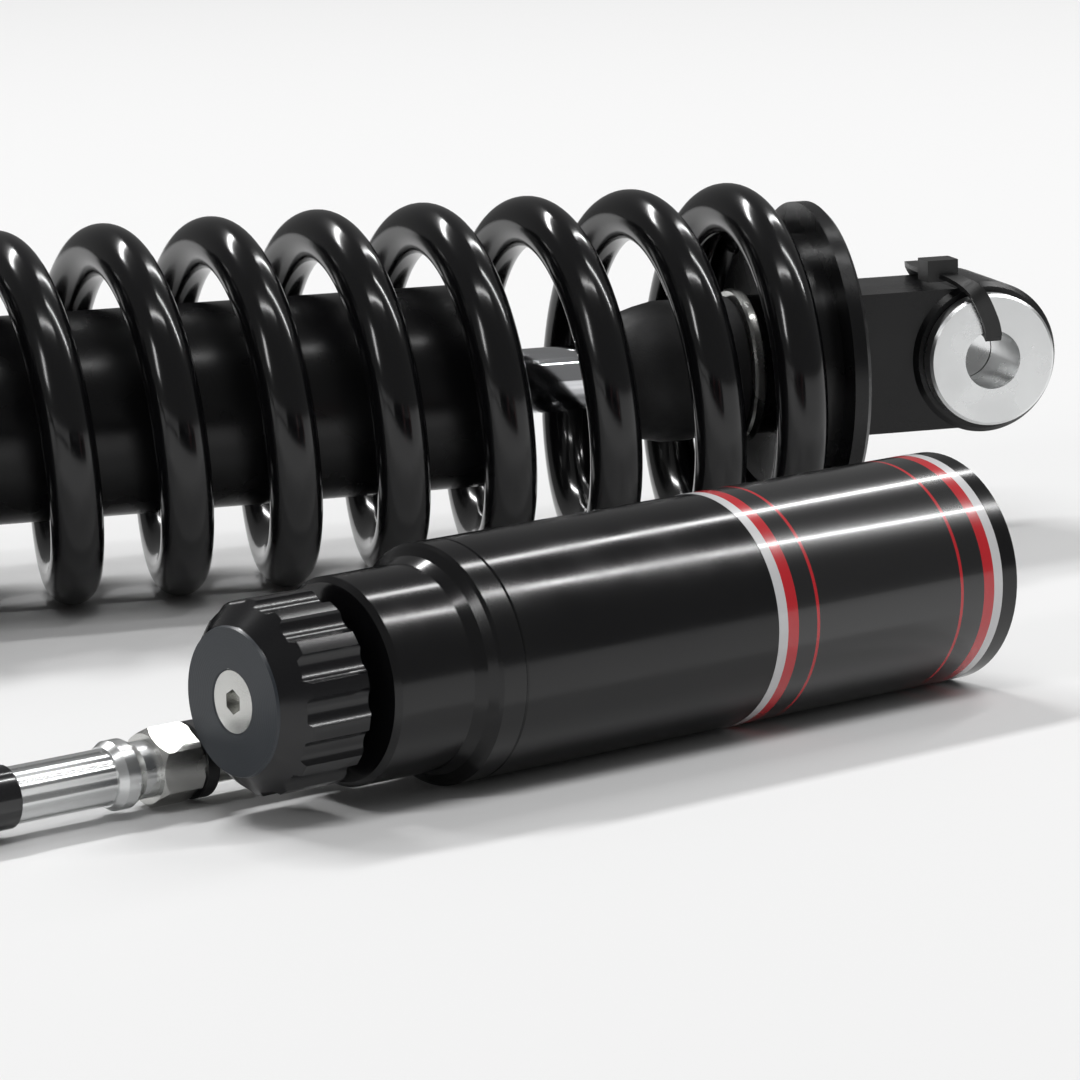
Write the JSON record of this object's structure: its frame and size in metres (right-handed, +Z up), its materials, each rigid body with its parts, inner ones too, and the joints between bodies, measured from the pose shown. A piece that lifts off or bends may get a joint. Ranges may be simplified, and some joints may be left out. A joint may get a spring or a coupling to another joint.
{
  "type": "rear shock absorber",
  "caption": "Coil-over rear shock with a bolt eye at each end and a remote gas reservoir with an adjuster knob, joined by a flexible hose.",
  "frame": {"origin": "centre of the lower eye bore", "axes": "+X along the shock away from the upper eye, +Y along both eye bores, +Z up from the ground it lies on"},
  "size_m": [0.4322, 0.2708, 0.0792],
  "materials": {
    "black_anodised": "satin black anodised aluminium",
    "spring_gloss": "gloss black powder coat",
    "steel": "bright zinc or stainless steel",
    "aluminium": "machined aluminium",
    "rod_chrome": "ground hard chrome",
    "seal_rubber": "black rubber",
    "hose_cover": "glossy black hose cover",
    "knob_black": "satin black anodised with turned face",
    "bronze": "bronze bush",
    "bump_foam": "black foam rubber"
  },
  "bodies": {
    "damper_body": {"damper_tube": "black_anodised", "upper_eye_cap": "black_anodised", "seal_head": "black_anodised", "rod_seal": "seal_rubber", "rod_guide_bush": "bronze", "rod_wiper": "seal_rubber", "coil_spring": "spring_gloss", "spring_slip_washer": "steel", "upper_eye_bush": "seal_rubber", "body_port": "steel", "body_hose_nut": "steel", "body_ferrule": "aluminium", "hose": "hose_cover", "reservoir_ferrule": "aluminium", "reservoir_hose_collar": "aluminium", "reservoir_hose_nut": "steel", "reservoir_port_seal": "seal_rubber", "reservoir_port": "steel", "reservoir_cap": "black_anodised", "cap_o_ring": "seal_rubber", "reservoir_tube": "black_anodised", "gas_end_cap": "black_anodised", "gas_cap_o_ring": "seal_rubber", "gas_cap_clip": "steel", "gas_valve": "aluminium", "valve_cap": "seal_rubber", "travel_o_ring": "seal_rubber"},
    "rod_body": {"rod": "rod_chrome", "main_piston": "aluminium", "piston_band": "seal_rubber", "compression_shims": "steel", "rebound_shims": "steel", "piston_nut": "steel", "bump_stop": "bump_foam", "bump_washer": "steel", "lower_spring_seat": "black_anodised", "seat_clip": "steel", "lower_eye": "black_anodised", "lower_eye_bush": "seal_rubber"},
    "lower_spacers": {"lower_spacer_left": "aluminium", "lower_spacer_right": "aluminium"},
    "upper_spacers": {"upper_spacer_left": "aluminium", "upper_spacer_right": "aluminium"},
    "preload_ring_body": {"preload_ring": "black_anodised"},
    "lock_ring_body": {"lock_ring": "black_anodised"},
    "knob_body": {"adjuster_knob": "knob_black", "knob_screw": "steel", "adjuster_stem": "steel"},
    "floating_piston_body": {"floating_piston": "aluminium", "floating_band": "seal_rubber"}
  },
  "joints": [
    {"name": "rod_slide", "type": "slide", "parent": "damper_body", "child": "rod_body", "axis": [-1, 0, 0], "range_m": [0, 0.042], "stiffness_N_per_m": 25000, "springref_m": -0.008, "deforming": ["coil_spring", "bump_stop"]},
    {"name": "lower_eye_pivot", "type": "hinge", "parent": "rod_body", "child": "lower_spacers", "pos_m": [0, 0, 0], "axis": [0, 1, 0], "range_deg": [-15, 15]},
    {"name": "upper_eye_pivot", "type": "hinge", "parent": "damper_body", "child": "upper_spacers", "pos_m": [-0.33, 0, 0], "axis": [0, 1, 0], "range_deg": [-15, 15]},
    {"name": "preload_ring_turn", "type": "hinge", "parent": "damper_body", "child": "preload_ring_body", "pos_m": [-0.262, 0, 0], "axis": [1, 0, 0], "range_deg": [-180, 180]},
    {"name": "lock_ring_turn", "type": "hinge", "parent": "damper_body", "child": "lock_ring_body", "pos_m": [-0.272, 0, 0], "axis": [1, 0, 0], "range_deg": [-180, 180]},
    {"name": "adjuster_turn", "type": "hinge", "parent": "damper_body", "child": "knob_body", "pos_m": [-0.216, -0.204, -0.0176], "axis": [0.9272, 0.3746, 0], "range_deg": [0, 270]},
    {"name": "floating_piston_slide", "type": "slide", "parent": "damper_body", "child": "floating_piston_body", "axis": [0.9272, 0.3746, 0], "range_m": [0, 0.0055]}
  ],
  "couplings": [
    {"joint": "floating_piston_slide", "follows": "rod_slide", "ratio": 0.129}
  ]
}
